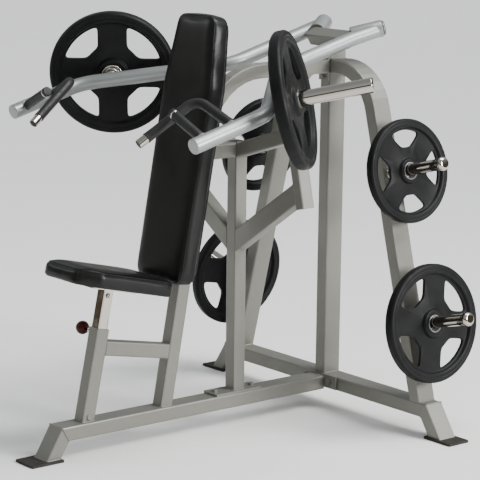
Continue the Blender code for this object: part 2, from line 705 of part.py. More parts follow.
def weight_plate(name, size, centre, axis, turn, parts, tools, iron):
    """A plate whose inner face centre and outward axis are given, with its openings turned from level."""
    radius, thick = size
    plate = turned(name, plate_profile(radius, thick), centre, axis, parts, iron, 24, closed=True)
    level = UP.cross(axis).normalized()
    upright = axis.cross(level)
    shape = bmesh.new()
    outline = opening_outline(radius)
    for quarter in range(4):
        angle = turn + quarter * math.pi / 2
        across = level * math.cos(angle) + upright * math.sin(angle)
        sweep_into(shape, (centre - axis * 0.01, centre + axis * (thick + 0.01)), outline, across)
    boolean(plate, finished(shape, name + "_openings", tools))


def weight_plates(parts, tools, iron):
    for word, side in SIDES:
        axis = mirrored(ARM_HORN_AXIS, side)
        centre = mirrored(at(*ARM_HORN_ROOT), side) + axis * PLATE_SEAT
        weight_plate("arm_plate_" + word, ARM_PLATE, centre, axis, math.pi / 4, parts, tools, iron)
        for level, storage in STORAGE.items():
            peg = Vector((side * math.cos(HORN_RISE), 0, math.sin(HORN_RISE)))
            axis = Vector((side * math.cos(storage.rise), 0, math.sin(storage.rise)))
            root = at(storage.base[0] * side, CROSS_MID, storage.base[1])
            centre = root + peg * storage.reach - UP * PLATE_SAG - axis * (storage.plate[1] / 2)
            name = f"storage_plate_{level}_{word}"
            weight_plate(name, storage.plate, centre, axis, storage.turn * side, parts, tools, iron)


def main():
    for obj in list(bpy.data.objects):
        bpy.data.objects.remove(obj)
    parts = bpy.data.collections.new("leverage_shoulder_press")
    tools = bpy.data.collections.new("cutters")
    tools.hide_render = True
    for group in (parts, tools):
        bpy.context.scene.collection.children.link(group)

    steel = material("silver_powder_coat", (0.50, 0.50, 0.47), 0.42, 0.3)
    silver = material("bright_silver_coat", (0.60, 0.62, 0.62), 0.30, 0.6)
    chrome = material("chrome", (0.80, 0.80, 0.80), 0.08, 1.0)
    dark = material("blackened_steel", (0.05, 0.05, 0.05), 0.40, 0.8)
    bronze = material("sintered_bronze", (0.45, 0.30, 0.14), 0.45, 0.9)
    iron = material("black_plate_coat", (0.018, 0.019, 0.020), 0.45)
    rubber = material("black_rubber", (0.03, 0.03, 0.03), 0.75)
    grip = material("grip_foam", (0.03, 0.03, 0.035), 0.60)
    vinyl = material("black_vinyl", (0.02, 0.02, 0.02), 0.40)
    wood = material("plywood", (0.42, 0.30, 0.18), 0.70)
    red = material("red_plastic", (0.25, 0.04, 0.02), 0.35)

    floor_frame(parts, tools, steel, rubber)
    uprights(parts, tools, steel)
    mid_upright(parts, tools, steel)
    rest_supports(parts, tools, steel, rubber)
    top, pin = seat_post(parts, tools, steel)
    seat(parts, tools, chrome, vinyl, top, pin)
    pull_pin(parts, chrome, red, pin)
    back_rest(parts, wood, vinyl)
    pivots(parts, tools, steel, dark, bronze)
    press_arms(parts, tools, silver, chrome, grip)
    storage_horns(parts, chrome)
    weight_plates(parts, tools, iron)


main()
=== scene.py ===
"""Looks of the plate-loaded leverage shoulder press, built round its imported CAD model.

Metres, +Z up, the seat end towards -Y. The tubes, flanges and feet of the CAD model keep their shape and get
rounded edges, weld beads and paint. Round pieces, weight plates and upholstery are rebuilt more finely.
"""

import json
import math

import bmesh
import bpy
import numpy as np
from mathutils import Matrix, Vector
from mathutils.bvhtree import BVHTree


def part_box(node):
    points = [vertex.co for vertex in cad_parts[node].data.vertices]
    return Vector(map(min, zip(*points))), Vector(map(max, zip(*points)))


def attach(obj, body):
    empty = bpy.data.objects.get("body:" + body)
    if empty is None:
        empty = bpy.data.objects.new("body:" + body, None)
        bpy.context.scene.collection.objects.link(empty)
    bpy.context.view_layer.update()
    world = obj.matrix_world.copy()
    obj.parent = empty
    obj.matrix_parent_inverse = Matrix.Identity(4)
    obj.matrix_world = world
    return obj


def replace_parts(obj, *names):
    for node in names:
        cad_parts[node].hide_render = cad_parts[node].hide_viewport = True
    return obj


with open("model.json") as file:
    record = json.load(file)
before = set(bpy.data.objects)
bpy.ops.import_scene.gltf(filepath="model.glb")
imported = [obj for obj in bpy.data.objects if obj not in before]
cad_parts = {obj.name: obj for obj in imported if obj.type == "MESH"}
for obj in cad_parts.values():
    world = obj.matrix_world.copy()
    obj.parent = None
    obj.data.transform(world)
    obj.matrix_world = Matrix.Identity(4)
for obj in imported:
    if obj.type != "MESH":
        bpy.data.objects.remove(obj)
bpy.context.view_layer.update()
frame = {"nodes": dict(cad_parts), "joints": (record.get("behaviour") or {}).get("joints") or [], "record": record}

SIDES = (("right", 1), ("left", -1))
UP = Vector((0, 0, 1))
FRONT_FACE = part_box("rear_upright")[0].y  # stations run from this face of the rear frame

# Camera
AIM = (0.0228, -0.450, 0.6624)
DISTANCE = 6.8105
AZIMUTH = math.radians(51.36)
PITCH = math.radians(10.86)
ROLL = math.radians(0.61)
LENS = 148.2
SHIFT = (0.0247, -0.0012)

# Round stock
ARM_RADIUS = 0.0254
ARM_BEND = 0.130
HORN_RADIUS = 0.0245
STORAGE_RADIUS = 0.020
GRIP_RADIUS = 0.0165
ROD_RADIUS = 0.0148
COLLAR_RADIUS = 0.038
COLLAR_THICK = 0.010
STORAGE_FLANGE = 0.030
STORAGE_BULB = 0.0235
SHAFT_RADIUS = 0.0193
SHAFT_HEAD = 0.026
SLEEVE_BORE = 0.0234
SLEEVE_RADIUS = 0.030
KNOB_RADIUS = 0.023
ARM_PLATE = (0.225, 0.043)  # radius and thickness

# Centre lines, as stations: the arm from its front cap back to its sleeve, and the handles outwards from it
ARM_POINTS = ((0.510, -0.976, 1.086), (0.515, -0.692, 1.166), (0.127, -0.324, 1.247), (0.134, -0.006, 1.337))
ARM_END = (0.149, 0.131, 1.371)
STRAIGHT_HANDLE = ((0.510, -0.933, 1.0981), (0.350, -0.942, 1.171))
BENT_HANDLE = ((0.5128, -0.815, 1.1314), (0.347, -0.841, 1.206), (0.299, -1.035, 1.071))
HANDLE_BEND = 0.045
COVER_ROOT = 0.029  # bare rod before the bent handle's cover
COVER_TIP = 0.034  # bare rod past it

# Beads of weld, and the angle that leaves no edge sharp
WELD = 0.0026
HANDLE_WELD = 0.0022
NO_EDGES = 180

# Upholstery
SEAT_TILT = math.radians(13.3)
BACK_LEAN = math.radians(10.3)
VOXEL = 0.005
PRESSURE = 4.0
WELT = 0.0022


def at(x, y, z):
    return Vector((x, y + FRONT_FACE, z))


def mirrored(point, side):
    return Vector((point[0] * side, point[1], point[2]))


def joint(name):
    return next(j for j in frame["joints"] if j["name"] == name)


def centre(node):
    low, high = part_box(node)
    return (low + high) / 2


# Materials


class Paint:
    """A Principled material whose detail comes from procedural textures in the object's own space."""

    def __init__(self, name, colour, roughness, metallic=0.0, coat=0.0, coat_roughness=0.1, specular=0.5):
        self.material = bpy.data.materials.new(name)
        self.material.use_nodes = True
        tree = self.material.node_tree
        self.nodes, self.links = tree.nodes, tree.links
        self.shader = self.nodes["Principled BSDF"]
        self.colour = colour
        self.set("Base Color", (*colour, 1))
        self.set("Roughness", roughness)
        self.set("Metallic", metallic)
        self.set("Specular IOR Level", specular)
        if coat:
            self.set("Coat Weight", coat)
            self.set("Coat Roughness", coat_roughness)
        self.space = self.nodes.new("ShaderNodeTexCoord").outputs["Object"]
        self.height = None

    def set(self, socket, value):
        self.shader.inputs[socket].default_value = value

    def stretched(self, stretch):
        mapping = self.nodes.new("ShaderNodeMapping")
        mapping.inputs["Scale"].default_value = stretch
        self.links.new(self.space, mapping.inputs["Vector"])
        return mapping.outputs["Vector"]

    def noise(self, scale, detail=3.0, stretch=None, distortion=0.0):
        node = self.nodes.new("ShaderNodeTexNoise")
        node.inputs["Scale"].default_value = scale
        node.inputs["Detail"].default_value = detail
        node.inputs["Distortion"].default_value = distortion
        self.links.new(self.stretched(stretch) if stretch else self.space, node.inputs["Vector"])
        return node.outputs["Fac"]

    def cells(self, scale, feature="F1"):
        node = self.nodes.new("ShaderNodeTexVoronoi")
        node.feature = feature
        node.inputs["Scale"].default_value = scale
        self.links.new(self.space, node.inputs["Vector"])
        return node.outputs["Distance"]

    def ranged(self, source, low, high, start=0.3, end=0.7):
        node = self.nodes.new("ShaderNodeMapRange")
        node.inputs["From Min"].default_value = start
        node.inputs["From Max"].default_value = end
        node.inputs["To Min"].default_value = low
        node.inputs["To Max"].default_value = high
        self.links.new(source, node.inputs["Value"])
        return node.outputs["Result"]

    def tint(self, source, other, amount=1.0, start=0.3, end=0.7):
        """Mixes the colour so far towards another where the source is high."""
        node = self.nodes.new("ShaderNodeMix")
        node.data_type = "RGBA"
        base = self.shader.inputs["Base Color"]
        if base.is_linked:
            self.links.new(base.links[0].from_socket, node.inputs["A"])
        else:
            node.inputs["A"].default_value = (*self.colour, 1)
        node.inputs["B"].default_value = (*other, 1)
        self.links.new(self.ranged(source, 0.0, amount, start, end), node.inputs["Factor"])
        self.links.new(node.outputs["Result"], base)
        return self

    def gloss(self, source, low, high, start=0.3, end=0.7):
        self.links.new(self.ranged(source, low, high, start, end), self.shader.inputs["Roughness"])
        return self

    def bump(self, source, depth, strength=1.0):
        """Adds relief of this depth in metres."""
        node = self.nodes.new("ShaderNodeBump")
        node.inputs["Distance"].default_value = depth
        node.inputs["Strength"].default_value = strength
        self.links.new(source, node.inputs["Height"])
        if self.height:
            self.links.new(self.height, node.inputs["Normal"])
        self.height = node.outputs["Normal"]
        self.links.new(self.height, self.shader.inputs["Normal"])
        return self


def powder_coat():
    colour = (0.185, 0.183, 0.162)
    paint = Paint("silver_powder_coat", colour, 0.40, metallic=0.35, coat=0.1, coat_roughness=0.3)
    paint.tint(paint.noise(2.2, 4), (0.150, 0.147, 0.126), 0.7)
    paint.tint(paint.noise(45, 5), (0.23, 0.23, 0.21), 0.25, 0.55, 0.8)
    paint.gloss(paint.noise(9, 4), 0.34, 0.5)
    paint.bump(paint.noise(650, 2), 0.00005)
    return paint.material


def arm_coat():
    colour = (0.27, 0.285, 0.28)
    paint = Paint("bright_silver_coat", colour, 0.40, metallic=0.55, coat=0.15, coat_roughness=0.25)
    paint.tint(paint.noise(3, 4), (0.225, 0.24, 0.235), 0.6)
    paint.gloss(paint.noise(14, 5), 0.36, 0.46)
    paint.bump(paint.noise(500, 2), 0.00003)
    return paint.material


def chrome():
    paint = Paint("chrome", (0.50, 0.47, 0.42), 0.07, metallic=1.0)
    paint.gloss(paint.noise(30, 6), 0.05, 0.16, 0.4, 0.8)
    paint.tint(paint.noise(6, 3), (0.42, 0.385, 0.335), 0.5)
    paint.bump(paint.noise(900, 2, (1, 1, 0.05)), 0.000008)
    return paint.material


def plate_coat():
    paint = Paint("black_plate_coat", (0.004, 0.0043, 0.0047), 0.40, specular=0.13)
    paint.tint(paint.noise(16, 6), (0.009, 0.009, 0.009), 0.8)
    paint.tint(paint.noise(120, 4), (0.020, 0.018, 0.016), 0.35, 0.58, 0.8)
    paint.gloss(paint.noise(35, 5), 0.34, 0.54)
    paint.bump(paint.noise(420, 3), 0.00012)
    paint.bump(paint.cells(900), 0.00004)
    return paint.material


def vinyl():
    paint = Paint("black_vinyl", (0.0035, 0.0035, 0.0035), 0.34, specular=0.24)
    paint.tint(paint.noise(8, 4), (0.006, 0.0056, 0.0052), 0.8)
    paint.gloss(paint.noise(22, 4), 0.32, 0.38)
    paint.bump(paint.cells(560, "SMOOTH_F1"), 0.00018, 0.5)
    paint.bump(paint.noise(160, 4), 0.00008, 0.5)
    return paint.material


def rubber():
    paint = Paint("black_rubber", (0.016, 0.014, 0.012), 0.72, specular=0.3)
    paint.tint(paint.noise(25, 5), (0.035, 0.030, 0.024), 0.6)
    paint.gloss(paint.noise(40, 4), 0.62, 0.85)
    paint.bump(paint.noise(700, 2), 0.00008)
    return paint.material


def grip_rubber():
    paint = Paint("grip_rubber", (0.007, 0.007, 0.0075), 0.42, specular=0.35)
    paint.tint(paint.noise(20, 4), (0.016, 0.015, 0.015), 0.6)
    paint.gloss(paint.noise(60, 4), 0.40, 0.60)
    paint.bump(paint.cells(1100), 0.00008)
    return paint.material


def bronze():
    paint = Paint("sintered_bronze", (0.20, 0.145, 0.085), 0.5, metallic=0.9)
    paint.tint(paint.noise(60, 5), (0.14, 0.10, 0.06), 0.7)
    paint.bump(paint.noise(1500, 2), 0.00004)
    return paint.material


def blackened():
    paint = Paint("blackened_steel", (0.20, 0.20, 0.195), 0.38, metallic=0.8)
    paint.tint(paint.noise(40, 5), (0.12, 0.12, 0.115), 0.7)
    paint.gloss(paint.noise(80, 4), 0.28, 0.5)
    return paint.material


def plywood():
    paint = Paint("plywood", (0.36, 0.25, 0.15), 0.70)
    paint.tint(paint.noise(14, 6, (1, 1, 9)), (0.25, 0.16, 0.09), 0.9)
    paint.tint(paint.noise(260, 2, (1, 1, 12)), (0.45, 0.33, 0.2), 0.4)
    paint.bump(paint.noise(300, 3, (1, 1, 10)), 0.0001)
    return paint.material


def red_plastic():
    paint = Paint("red_plastic", (0.045, 0.0035, 0.002), 0.36, coat=0.04, coat_roughness=0.15, specular=0.16)
    paint.tint(paint.noise(45, 4), (0.028, 0.0025, 0.0015), 0.8)
    paint.bump(paint.noise(500, 2), 0.00003)
    return paint.material


def floor_paint():
    paint = Paint("pale_floor", (0.86, 0.855, 0.84), 0.75)
    paint.tint(paint.noise(1.5, 3), (0.83, 0.825, 0.81), 0.5)
    return paint.material


MATERIALS = {
    "silver_powder_coat": powder_coat(),
    "bright_silver_coat": arm_coat(),
    "chrome": chrome(),
    "black_plate_coat": plate_coat(),
    "black_vinyl": vinyl(),
    "black_rubber": rubber(),
    "grip_foam": grip_rubber(),
    "sintered_bronze": bronze(),
    "blackened_steel": blackened(),
    "plywood": plywood(),
    "red_plastic": red_plastic(),
}
BLACKENED, RUBBER = MATERIALS["blackened_steel"], MATERIALS["black_rubber"]


# Making and placing pieces


def link(name, data, slot, body, smooth=40, material=None):
    """Adds a piece that rides a body; edges sharper than the smooth angle stay sharp."""
    obj = bpy.data.objects.new(name, data)
    bpy.context.scene.collection.objects.link(obj)
    data.materials.clear()
    data.materials.append(material or MATERIALS[slot])
    data.shade_smooth()
    data.set_sharp_from_angle(angle=math.radians(smooth))
    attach(obj, body)
    return obj


def baked(obj):
    """The object's evaluated mesh, on its own, with its faces turned outwards."""
    bpy.context.view_layer.update()
    graph = bpy.context.evaluated_depsgraph_get()
    mesh = bpy.data.meshes.new_from_object(obj.evaluated_get(graph))
    mesh.transform(obj.matrix_world)
    bpy.data.objects.remove(obj)
    shape = bmesh.new()
    shape.from_mesh(mesh)
    bmesh.ops.remove_doubles(shape, verts=shape.verts, dist=1e-6)
    bmesh.ops.recalc_face_normals(shape, faces=shape.faces)
    shape.to_mesh(mesh)
    shape.free()
    return mesh


def turned(profile, origin, axis, steps=64, closed=False):
    """The mesh of a (radius, height) profile spun about an axis; it runs top to bottom down its outside."""
    mesh = bpy.data.meshes.new("profile")
    edges = [(i, i + 1) for i in range(len(profile) - 1)]
    if closed:
        edges.append((len(profile) - 1, 0))
    mesh.from_pydata([(r, 0, h) for r, h in profile], edges, [])
    obj = bpy.data.objects.new("profile", mesh)
    bpy.context.scene.collection.objects.link(obj)
    screw = obj.modifiers.new("Turn", "SCREW")
    screw.steps = screw.render_steps = steps
    screw.use_merge_vertices = True
    screw.merge_threshold = 1e-5
    obj.matrix_world = Matrix.Translation(origin) @ Vector(axis).to_track_quat("Z", "Y").to_matrix().to_4x4()
    return baked(obj)


def eased(profile, radius, steps=3):
    """An open profile with each inner corner rounded, as far as its edges allow."""
    points = [Vector((r, h, 0)) for r, h in profile]
    out = [points[0]]
    for before, corner, after in zip(points, points[1:], points[2:]):
        a, b = before - corner, after - corner
        reach = min(radius, 0.45 * a.length, 0.45 * b.length)
        first, last = corner + a.normalized() * reach, corner + b.normalized() * reach
        for i in range(steps + 1):
            t = i / steps
            out.append(first * (1 - t) ** 2 + corner * 2 * t * (1 - t) + last * t**2)
    return [(p.x, p.y) for p in (*out, points[-1])]


def arc_at(before, corner, after, radius, steps):
    """The points of a bend of this radius that replaces a corner."""
    a, b = (before - corner).normalized(), (after - corner).normalized()
    half = a.angle(b) / 2
    middle = corner + (a + b).normalized() * (radius / math.sin(half))
    start = corner + a * (radius / math.tan(half)) - middle
    axis = a.cross(b).normalized()
    turns = ((math.pi - 2 * half) * i / steps for i in range(steps + 1))
    return [middle + start * math.cos(t) - axis.cross(start) * math.sin(t) for t in turns]


def bent(points, radius, steps=16):
    path = [points[0]]
    for before, corner, after in zip(points, points[1:], points[2:]):
        path += arc_at(before, corner, after, radius, steps)
    return path + [points[-1]]


def rod(path, radius, cyclic=False, sides=8, swell=None):
    """A round bar along a path, as a mesh; swell gives each point's share of the radius."""
    curve = bpy.data.curves.new("rod", "CURVE")
    curve.dimensions = "3D"
    curve.bevel_depth = radius
    curve.bevel_resolution = sides
    curve.use_fill_caps = not cyclic
    spline = curve.splines.new("POLY")
    spline.points.add(len(path) - 1)
    spline.use_cyclic_u = cyclic
    for i, (point, place) in enumerate(zip(spline.points, path)):
        point.co = (*place, 1)
        point.radius = swell(i) if swell else 1.0
    obj = bpy.data.objects.new("rod", curve)
    bpy.context.scene.collection.objects.link(obj)
    return baked(obj)


def joined(meshes):
    shape = bmesh.new()
    for mesh in meshes:
        shape.from_mesh(mesh)
    whole = bpy.data.meshes.new("joined")
    shape.to_mesh(whole)
    shape.free()
    return whole


# Frame: paint, rounded edges and welds


def dress_cad_nodes():
    """Every carried-over CAD node gets its slot's material, and flat-sided ones a small rounded edge."""
    slots = {s["node"]: s["material_slot"] for s in frame["record"]["subparts"]}
    for name, obj in frame["nodes"].items():
        slot = slots[name]
        obj.data.materials.clear()
        obj.data.materials.append(MATERIALS[slot])
        if slot in ("silver_powder_coat", "black_rubber", "plywood"):
            bevel = obj.modifiers.new("Rounded edges", "BEVEL")
            bevel.width = 0.0009
            bevel.segments = 2
            bevel.limit_method = "ANGLE"
            bevel.angle_limit = math.radians(60)
            bevel.harden_normals = True


def tree_of(mesh):
    mesh.calc_loop_triangles()
    return BVHTree.FromPolygons([v.co for v in mesh.vertices], [t.vertices for t in mesh.loop_triangles])


def contact_ring(node, neighbour, reach=0.0012):
    """The outer ring of a node's points that touch a neighbour, in order round their middle."""
    tree = tree_of(frame["nodes"][neighbour].data)
    points = [v.co.copy() for v in frame["nodes"][node].data.vertices]
    near = [point for point in points if (tree.find_nearest(point)[3] or 1) < reach]
    if len(near) < 6:
        return []
    middle = sum(near, Vector()) / len(near)
    spread = np.array([p - middle for p in near])
    _, _, axes = np.linalg.svd(spread, full_matrices=False)
    first, second = Vector(axes[0]), Vector(axes[1])
    rings = {}
    for point in near:
        u, v = (point - middle).dot(first), (point - middle).dot(second)
        key = round(math.degrees(math.atan2(v, u)) / 7)
        if key not in rings or math.hypot(u, v) > rings[key][0]:
            rings[key] = (math.hypot(u, v), point)
    return [rings[key][1] for key in sorted(rings)]


def even_steps(ring, step=0.004):
    points = []
    for a, b in zip(ring, ring[1:] + ring[:1]):
        count = max(1, round((b - a).length / step))
        points += [a.lerp(b, i / count) for i in range(count)]
    return points


def weld(name, node, neighbour, slot, body, radius=WELD):
    """A painted-over weld bead round the joint between two pieces, with its run of ripples."""
    ring = contact_ring(node, neighbour)
    if not ring:
        return
    mesh = rod(even_steps(ring), radius, True, 3, lambda i: 1 + 0.14 * math.sin(i * 1.9))
    link(name, mesh, slot, body, NO_EDGES)


def frame_welds():
    joints = [
        ("front_leg", "main_beam"),
        ("rear_leg_right", "rear_cross_beam"),
        ("rear_leg_left", "rear_cross_beam"),
        ("front_leg", "front_foot_pad"),
        ("main_beam", "beam_flange"),
        ("rear_upright", "rear_cross_beam"),
        ("side_tube_right", "rear_cross_beam"),
        ("side_tube_left", "rear_cross_beam"),
        ("side_tube_right", "rear_upright"),
        ("side_tube_left", "rear_upright"),
        ("back_support_tube", "main_beam"),
        ("back_support_tube", "back_tube_flange"),
        ("seat_post_outer", "main_beam"),
        ("seat_brace", "seat_post_outer"),
        ("seat_brace", "back_support_tube"),
        ("mid_upright", "mid_base_plate"),
        ("tie_tube", "back_support_tube"),
        ("tie_tube", "mid_upright"),
        ("rear_upright", "pivot_block"),
    ]
    for word, _ in SIDES:
        joints += [(f"rest_{piece}_{word}", "mid_upright") for piece in ("wing", "brace")]
        joints += [(f"rest_{piece}_{word}", f"rest_post_{word}") for piece in ("wing", "brace")]
        joints += [(f"storage_horn_{level}_{word}", f"side_tube_{word}") for level in ("lower", "upper")]
    for node, neighbour in joints:
        weld(f"weld_{node}_to_{neighbour}", node, neighbour, "silver_powder_coat", "frame")


# Weight plates


def plate_profile(radius, thick, bore):
    """A plate's section: a hub and a rim, both raised from a thinner web, and a groove round each face."""
    hub, rim, slope = 0.23 * radius, 0.84 * radius, 0.02 * radius
    high = 0.66 * thick
    groove = 0.0012
    face = [
        (bore, thick),
        (hub, thick),
        (hub + slope, high),
        (rim - slope, high),
        (rim, thick - 0.001),
        (rim + 0.012, thick),
        (rim + 0.0135, thick - groove),
        (rim + 0.0155, thick - groove),
        (rim + 0.017, thick),
        (radius - 0.16 * thick, thick),
        (radius, 0.80 * thick),
    ]
    back = [(r, thick - h) for r, h in reversed(face)]
    return eased(face + back + [face[0]], 0.0035, 2)[:-1]


def opening(radius, angle, thick):
    """A cutter for one hand opening, with an arc at each end, sides along the spokes and round corners."""
    inner, outer, spoke = 0.46 * radius, 0.79 * radius, 0.23 * radius
    near = math.pi / 4 - math.asin(spoke / inner)
    far = math.pi / 4 - math.asin(spoke / outer)
    ring = [Vector((math.cos(far * t / 6), math.sin(far * t / 6), 0)) * outer for t in range(-6, 7)]
    ring += [Vector((math.cos(near * t / 3), math.sin(near * t / 3), 0)) * inner for t in range(3, -4, -1)]
    ring = even_steps(ring)
    for _ in range(14):
        ring = [(ring[i - 1] + 2 * p + ring[(i + 1) % len(ring)]) / 4 for i, p in enumerate(ring)]
    shape = bmesh.new()
    bottom = shape.faces.new([shape.verts.new((p.x, p.y, -0.02)) for p in ring])
    made = bmesh.ops.extrude_face_region(shape, geom=[bottom], use_keep_orig=True)["geom"]
    top = [v for v in made if isinstance(v, bmesh.types.BMVert)]
    bmesh.ops.translate(shape, vec=(0, 0, thick + 0.04), verts=top)
    bmesh.ops.recalc_face_normals(shape, faces=shape.faces)
    shape.transform(Matrix.Rotation(angle, 4, "Z"))
    mesh = bpy.data.meshes.new("opening")
    shape.to_mesh(mesh)
    shape.free()
    return mesh


def weight_plate(node, radius, thick, axis, turn):
    """Rebuilds a plate finely where its CAD solid is, with a steel ring in its hub."""
    middle = centre(node)
    level = UP.cross(axis).normalized()
    basis = Matrix((level, axis.cross(level), axis)).transposed().to_4x4()
    placed = Matrix.Translation(middle - axis * thick / 2) @ basis
    disc = turned(plate_profile(radius, thick, 0.030), Vector(), UP, 120, True)
    obj = bpy.data.objects.new("disc", disc)
    bpy.context.scene.collection.objects.link(obj)
    cutters = joined([opening(radius, turn + q * math.pi / 2, thick) for q in range(4)])
    cutter = bpy.data.objects.new("cutter", cutters)
    bpy.context.scene.collection.objects.link(cutter)
    cut = obj.modifiers.new("Openings", "BOOLEAN")
    cut.object = cutter
    bevel = obj.modifiers.new("Soft edges", "BEVEL")
    bevel.width = 0.0022
    bevel.segments = 2
    bevel.limit_method = "ANGLE"
    bevel.angle_limit = math.radians(55)
    mesh = baked(obj)
    bpy.data.objects.remove(cutter)
    mesh.transform(placed)
    body = node + "_body"
    piece = link(node + "_cast", mesh, "black_plate_coat", body, 50)
    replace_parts(piece, node)
    over, under = thick + 0.0006, -0.0006
    ring = [(0.0262, over), (0.0300, over), (0.0312, thick - 0.002), (0.0312, 0.002)]
    ring += [(0.0300, under), (0.0262, under), (0.0262, over)]
    ring = eased(ring, 0.0006, 2)[:-1]
    insert = turned(ring, middle - axis * thick / 2, axis, 64, True)
    link(node + "_hub_ring", insert, "black_plate_coat", body, material=BLACKENED)


def weight_plates():
    for word, side in SIDES:
        axis = Vector(joint("arm_plate_slide_" + word)["axis"])
        weight_plate("arm_plate_" + word, *ARM_PLATE, axis, math.pi / 4)
        for level, radius, thick, rise, turn in (
            ("lower", 0.205, 0.036, 8.0, 35.0),
            ("upper", 0.180, 0.033, 10.4, 0.0),
        ):
            rise = math.radians(rise)
            axis = Vector((side * math.cos(rise), 0, math.sin(rise)))
            weight_plate(f"storage_plate_{level}_{word}", radius, thick, axis, math.radians(turn) * side)


# Horns, shafts and the arms


def extent(node, origin, axis):
    """How far a node reaches along an axis, from an origin on it."""
    reach = [(v.co - origin).dot(axis) for v in frame["nodes"][node].data.vertices]
    return min(reach), max(reach)


def storage_horns():
    """Each peg swells at its free end and has a flange at its root."""
    for word, _ in SIDES:
        for level in ("lower", "upper"):
            node = f"storage_horn_{level}_{word}"
            axis = Vector(joint(f"storage_plate_{level}_slide_{word}")["axis"])
            points = [v.co for v in frame["nodes"][node].data.vertices]
            origin = sum(points, Vector()) / len(points)
            low, high = extent(node, origin, axis)
            rim = low + 0.012
            profile = [
                (0, high),
                (STORAGE_BULB - 0.007, high),
                (STORAGE_BULB, high - 0.006),
                (STORAGE_BULB, high - 0.022),
                (STORAGE_RADIUS, high - 0.028),
                (STORAGE_RADIUS, rim),
                (STORAGE_FLANGE, rim),
                (STORAGE_FLANGE, low),
                (0, low),
            ]
            mesh = turned(eased(profile, 0.005, 5), origin, axis)
            piece = link(node + "_turned", mesh, "chrome", "frame", 60)
            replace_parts(piece, node)


def arm_horn(word, body):
    """The loading peg, with the collar that its plate rests on."""
    node = "arm_horn_" + word
    axis = Vector(joint("arm_plate_slide_" + word)["axis"])
    origin = centre("arm_plate_" + word)
    _, high = extent(node, origin, axis)
    seat = -ARM_PLATE[1] / 2 - 0.0006
    under, root = seat - COLLAR_THICK, seat - 0.0344
    profile = [(0, high), (HORN_RADIUS, high), (HORN_RADIUS, seat), (COLLAR_RADIUS, seat)]
    profile += [(COLLAR_RADIUS, under), (HORN_RADIUS, under), (HORN_RADIUS, root), (0, root)]
    piece = link(node + "_turned", turned(eased(profile, 0.004, 5), origin, axis), "chrome", body, 60)
    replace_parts(piece, node)
    ring = contact_ring(node, "press_arm_" + word, 0.0022)
    if ring:
        link(f"weld_{node}", rod(even_steps(ring), WELD, True, 3), "bright_silver_coat", body, NO_EDGES)


def press_arm(word, side, body):
    """The bent tube, cut off square to the pivot at its inner end, its pivot sleeve and its front cap."""
    inner = Vector(joint("press_arm_" + word)["pos_m"])
    axis = Vector(joint("press_arm_" + word)["axis"]) * -side
    low, length = extent("pivot_bush_" + word, inner, axis)
    length += low
    path = [mirrored(at(*p), side) for p in (*ARM_POINTS, ARM_END)]
    path = bent(path[:4], ARM_BEND) + [path[4]]
    run = (path[-1] - path[-2]).normalized()
    end = path[-2] + run * ((inner + axis * (length - 0.002) - path[-2]).dot(axis) / run.dot(axis))
    tube = rod(path[:-1] + [end], ARM_RADIUS, sides=14)
    shape = bmesh.new()
    shape.from_mesh(tube)
    geometry = list(shape.verts) + list(shape.edges) + list(shape.faces)
    cut = inner + axis * (length - 0.001)
    bmesh.ops.bisect_plane(shape, geom=geometry, plane_co=cut, plane_no=axis, clear_outer=True)
    shape.to_mesh(tube)
    shape.free()
    bore = (SLEEVE_BORE, length)
    sleeve = (bore, (SLEEVE_RADIUS, length), (SLEEVE_RADIUS, 0), (SLEEVE_BORE, 0), bore)
    sleeve = eased(sleeve, 0.0015, 3)[:-1]
    piece = link("arm_tube_" + word, tube, "bright_silver_coat", body, 60)
    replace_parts(piece, "press_arm_" + word)
    link("arm_sleeve_" + word, turned(sleeve, inner, axis, 64, True), "bright_silver_coat", body, 60)

    front = (path[0] - path[1]).normalized()
    brim = ARM_RADIUS + 0.0002
    profile = [(0, 0.0055), (ARM_RADIUS - 0.001, 0.005), (brim, 0.002), (brim, 0.0002), (0, 0.0002)]
    cap = turned(eased(profile, 0.002, 4), path[0], front)
    cap = link("arm_cap_" + word, cap, "bright_silver_coat", body)
    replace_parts(cap, "arm_end_cap_" + word)


def pivot_shaft(word, side):
    """The shaft, with its dished head."""
    node = "pivot_shaft_" + word
    inner = Vector(joint("press_arm_" + word)["pos_m"])
    axis = Vector(joint("press_arm_" + word)["axis"]) * -side
    low, high = extent(node, inner, axis)
    head = high - 0.0094
    profile = [(0, high - 0.002), (0.010, high - 0.002), (0.012, high), (0.022, high)]
    profile += [(SHAFT_HEAD, high - 0.004), (SHAFT_HEAD, head)]
    profile += [(SHAFT_RADIUS, head), (SHAFT_RADIUS, low), (0, low)]
    mesh = turned(eased(profile, 0.002, 4), inner, axis)
    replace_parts(link(node + "_turned", mesh, "blackened_steel", "frame"), node)


